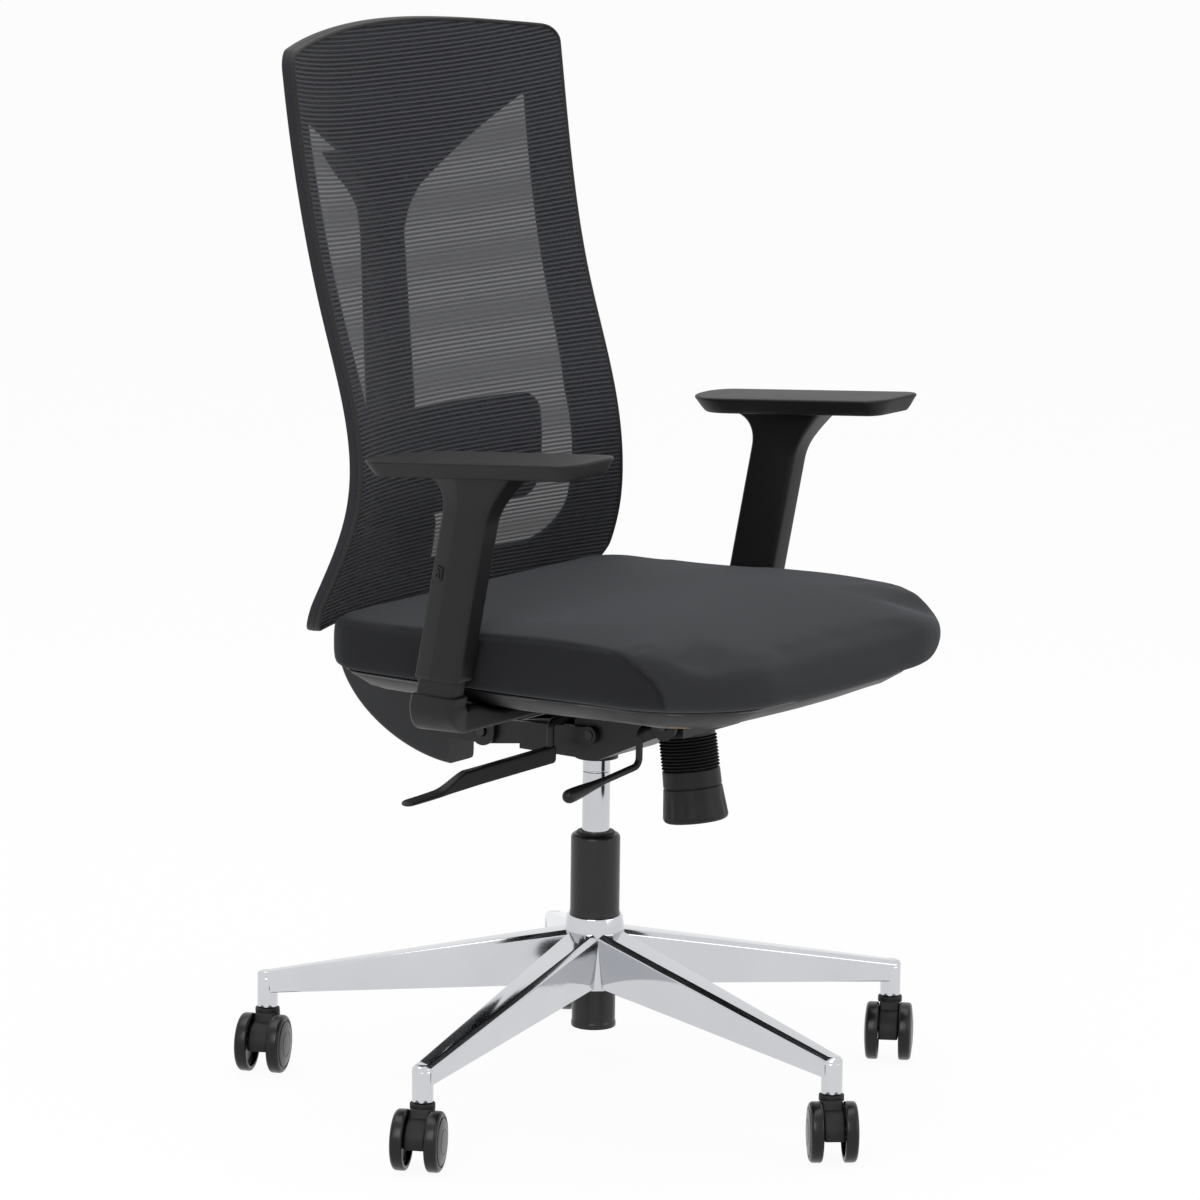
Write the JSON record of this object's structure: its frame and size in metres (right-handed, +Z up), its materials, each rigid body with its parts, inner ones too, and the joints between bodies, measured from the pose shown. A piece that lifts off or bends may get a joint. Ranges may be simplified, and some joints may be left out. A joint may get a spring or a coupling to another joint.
{
  "type": "swivel office chair",
  "caption": "Swivel office chair: ribbed mesh back with lumbar pad, padded seat, sliding armrests, tilt mechanism with levers, gas lift and polished star base on twin-wheel casters.",
  "frame": {"origin": "on the floor under the swivel axis", "axes": "+Z up along the gas column, -Y towards the front of the seat, -X towards the sitter's right"},
  "size_m": [0.7096, 0.7165, 1.0705],
  "materials": {
    "polished_base": "polished",
    "column_black": "satin",
    "bright_steel": "polished",
    "plain_steel": "plain",
    "mechanism_black": "satin",
    "nylon_bush": "matt",
    "bellows_rubber": "matt",
    "knob_plastic": "satin",
    "lever_plastic": "satin",
    "plywood": "plain",
    "shell_plastic": "satin",
    "seat_fabric": "woven",
    "back_plastic": "satin",
    "back_fabric": "ribbed mesh",
    "arm_plastic": "satin",
    "pad_rubber": "soft satin",
    "caster_plastic": "matt",
    "wheel_plastic": "gloss"
  },
  "bodies": {
    "base": {"five_star_base": "polished_base", "column_tube": "column_black", "guide_bush": "nylon_bush", "thrust_bearing": "plain_steel"},
    "lift_rod": {"piston_rod": "bright_steel", "rod_clip": "plain_steel"},
    "mechanism": {"gas_cylinder": "bright_steel", "mechanism_housing": "mechanism_black", "pivot_pins": "plain_steel", "spring_bellows": "bellows_rubber", "tension_spring": "plain_steel"},
    "release": {"release_pin": "plain_steel"},
    "lift_lever": {"lift_lever_rod": "mechanism_black", "lift_lever_paddle": "lever_plastic"},
    "lock_lever": {"lock_lever_rod": "mechanism_black", "lock_lever_grip": "lever_plastic"},
    "spindle": {"tension_spindle": "plain_steel"},
    "spring_stop": {"spring_seat": "plain_steel"},
    "knob": {"tension_knob": "knob_plastic"},
    "back": {"back_carrier": "mechanism_black", "link_pins": "plain_steel", "back_spine": "back_plastic", "back_frame": "back_plastic", "back_mesh": "back_fabric", "back_bolts": "plain_steel"},
    "lumbar": {"lumbar_pad": "back_plastic"},
    "seat": {"seat_plate": "mechanism_black", "seat_board": "plywood", "seat_shell": "shell_plastic", "seat_cushion": "seat_fabric", "seat_bolts": "plain_steel", "arm_bracket_right": "mechanism_black", "arm_bracket_left": "mechanism_black"},
    "arm_right": {"arm_sleeve_right": "arm_plastic", "arm_pad_right": "pad_rubber"},
    "arm_left": {"arm_sleeve_left": "arm_plastic", "arm_pad_left": "pad_rubber"},
    "button_right": {"arm_button_right": "arm_plastic"},
    "button_left": {"arm_button_left": "arm_plastic"},
    "caster_1": {"caster_1_hood": "caster_plastic", "caster_1_pins": "plain_steel"},
    "caster_1_wheel_a": {"caster_1_wheel_a": "wheel_plastic"},
    "caster_1_wheel_b": {"caster_1_wheel_b": "wheel_plastic"},
    "caster_2": {"caster_2_hood": "caster_plastic", "caster_2_pins": "plain_steel"},
    "caster_2_wheel_a": {"caster_2_wheel_a": "wheel_plastic"},
    "caster_2_wheel_b": {"caster_2_wheel_b": "wheel_plastic"},
    "caster_3": {"caster_3_hood": "caster_plastic", "caster_3_pins": "plain_steel"},
    "caster_3_wheel_a": {"caster_3_wheel_a": "wheel_plastic"},
    "caster_3_wheel_b": {"caster_3_wheel_b": "wheel_plastic"},
    "caster_4": {"caster_4_hood": "caster_plastic", "caster_4_pins": "plain_steel"},
    "caster_4_wheel_a": {"caster_4_wheel_a": "wheel_plastic"},
    "caster_4_wheel_b": {"caster_4_wheel_b": "wheel_plastic"},
    "caster_5": {"caster_5_hood": "caster_plastic", "caster_5_pins": "plain_steel"},
    "caster_5_wheel_a": {"caster_5_wheel_a": "wheel_plastic"},
    "caster_5_wheel_b": {"caster_5_wheel_b": "wheel_plastic"}
  },
  "joints": [
    {"name": "swivel", "type": "hinge", "parent": "base", "child": "lift_rod", "pos_m": [0, 0, 0], "axis": [0, 0, 1], "continuous": true},
    {"name": "seat_height", "type": "slide", "parent": "lift_rod", "child": "mechanism", "axis": [0, 0, 1], "range_m": [-0.062, 0.038]},
    {"name": "recline", "type": "hinge", "parent": "mechanism", "child": "back", "pos_m": [0, -0.03, 0.3795], "axis": [-1, 0, 0], "range_deg": [0, 20], "stiffness_Nm_per_rad": 60, "springref_deg": -20.05},
    {"name": "seat_tilt", "type": "hinge", "parent": "mechanism", "child": "seat", "pos_m": [0, -0.125, 0.4025], "axis": [-1, 0, 0], "range_deg": [0, 11.6]},
    {"name": "lift_lever", "type": "hinge", "parent": "mechanism", "child": "lift_lever", "pos_m": [-0.048, 0, 0.3933], "axis": [0, 1, 0], "range_deg": [0, 4], "stiffness_Nm_per_rad": 4, "springref_deg": -5.73},
    {"name": "release", "type": "slide", "parent": "mechanism", "child": "release", "axis": [0, 0, -1], "range_m": [0, 0.004]},
    {"name": "lock_lever", "type": "hinge", "parent": "mechanism", "child": "lock_lever", "pos_m": [0, -0.1, 0.3965], "axis": [1, 0, 0], "range_deg": [0, 25]},
    {"name": "tension_travel", "type": "slide", "parent": "mechanism", "child": "spindle", "axis": [0, 0.1392, 0.9903], "range_m": [0, 0.0121], "deforming": ["spring_bellows", "tension_spring"]},
    {"name": "knob_turn", "type": "hinge", "parent": "spindle", "child": "knob", "pos_m": [0, -0.111, 0.3815], "axis": [0, 0.1392, 0.9903], "range_deg": [0, 1440]},
    {"name": "spring_stop_travel", "type": "slide", "parent": "spindle", "child": "spring_stop", "axis": [0, 0.1392, 0.9903], "range_m": [0, 0.0061]},
    {"name": "lumbar_height", "type": "slide", "parent": "back", "child": "lumbar", "axis": [0, 0, 1], "range_m": [-0.02, 0.02]},
    {"name": "arm_height_right", "type": "slide", "parent": "seat", "child": "arm_right", "axis": [0, -0.1908, 0.9816], "range_m": [-0.015, 0.055]},
    {"name": "arm_button_right", "type": "slide", "parent": "arm_right", "child": "button_right", "axis": [1, 0, 0], "range_m": [0, 0.002], "stiffness_N_per_m": 200, "springref_m": -0.002},
    {"name": "arm_height_left", "type": "slide", "parent": "seat", "child": "arm_left", "axis": [0, -0.1908, 0.9816], "range_m": [-0.015, 0.055]},
    {"name": "arm_button_left", "type": "slide", "parent": "arm_left", "child": "button_left", "axis": [-1, 0, 0], "range_m": [0, 0.002], "stiffness_N_per_m": 200, "springref_m": -0.002},
    {"name": "caster_1_swivel", "type": "hinge", "parent": "base", "child": "caster_1", "pos_m": [-0.33867, -0.03979, 0.0645], "axis": [0, 0, 1], "continuous": true},
    {"name": "caster_1_wheel_a_spin", "type": "hinge", "parent": "caster_1", "child": "caster_1_wheel_a", "pos_m": [-0.35323, -0.04642, 0.03], "axis": [0.4147, -0.91, 0], "continuous": true},
    {"name": "caster_1_wheel_b_spin", "type": "hinge", "parent": "caster_1", "child": "caster_1_wheel_b", "pos_m": [-0.35323, -0.04642, 0.03], "axis": [0.4147, -0.91, 0], "continuous": true},
    {"name": "caster_2_swivel", "type": "hinge", "parent": "base", "child": "caster_2", "pos_m": [-0.06682, -0.33439, 0.0645], "axis": [0, 0, 1], "continuous": true},
    {"name": "caster_2_wheel_a_spin", "type": "hinge", "parent": "caster_2", "child": "caster_2_wheel_a", "pos_m": [-0.07916, -0.34457, 0.03], "axis": [0.6361, -0.7716, 0], "continuous": true},
    {"name": "caster_2_wheel_b_spin", "type": "hinge", "parent": "caster_2", "child": "caster_2_wheel_b", "pos_m": [-0.07916, -0.34457, 0.03], "axis": [0.6361, -0.7716, 0], "continuous": true},
    {"name": "caster_3_swivel", "type": "hinge", "parent": "base", "child": "caster_3", "pos_m": [0.29738, -0.16688, 0.0645], "axis": [0, 0, 1], "continuous": true},
    {"name": "caster_3_wheel_a_spin", "type": "hinge", "parent": "caster_3", "child": "caster_3_wheel_a", "pos_m": [0.28359, -0.175, 0.03], "axis": [0.5075, -0.8616, 0], "continuous": true},
    {"name": "caster_3_wheel_b_spin", "type": "hinge", "parent": "caster_3", "child": "caster_3_wheel_b", "pos_m": [0.28359, -0.175, 0.03], "axis": [0.5075, -0.8616, 0], "continuous": true},
    {"name": "caster_4_swivel", "type": "hinge", "parent": "base", "child": "caster_4", "pos_m": [0.25061, 0.23125, 0.0645], "axis": [0, 0, 1], "continuous": true},
    {"name": "caster_4_wheel_a_spin", "type": "hinge", "parent": "caster_4", "child": "caster_4_wheel_a", "pos_m": [0.23675, 0.22325, 0.03], "axis": [0.5, -0.866, 0], "continuous": true},
    {"name": "caster_4_wheel_b_spin", "type": "hinge", "parent": "caster_4", "child": "caster_4_wheel_b", "pos_m": [0.23675, 0.22325, 0.03], "axis": [0.5, -0.866, 0], "continuous": true},
    {"name": "caster_5_swivel", "type": "hinge", "parent": "base", "child": "caster_5", "pos_m": [-0.14249, 0.3098, 0.0645], "axis": [0, 0, 1], "continuous": true},
    {"name": "caster_5_wheel_a_spin", "type": "hinge", "parent": "caster_5", "child": "caster_5_wheel_a", "pos_m": [-0.15727, 0.30368, 0.03], "axis": [0.3827, -0.9239, 0], "continuous": true},
    {"name": "caster_5_wheel_b_spin", "type": "hinge", "parent": "caster_5", "child": "caster_5_wheel_b", "pos_m": [-0.15727, 0.30368, 0.03], "axis": [0.3827, -0.9239, 0], "continuous": true}
  ],
  "couplings": [
    {"joint": "seat_tilt", "follows": "recline", "ratio": 0.575},
    {"joint": "tension_travel", "follows": "recline", "m_per_rad": 0.0344},
    {"joint": "release", "follows": "lift_lever", "m_per_rad": 0.053},
    {"joint": "spring_stop_travel", "follows": "knob_turn", "m_per_rad": 0.00023873}
  ]
}
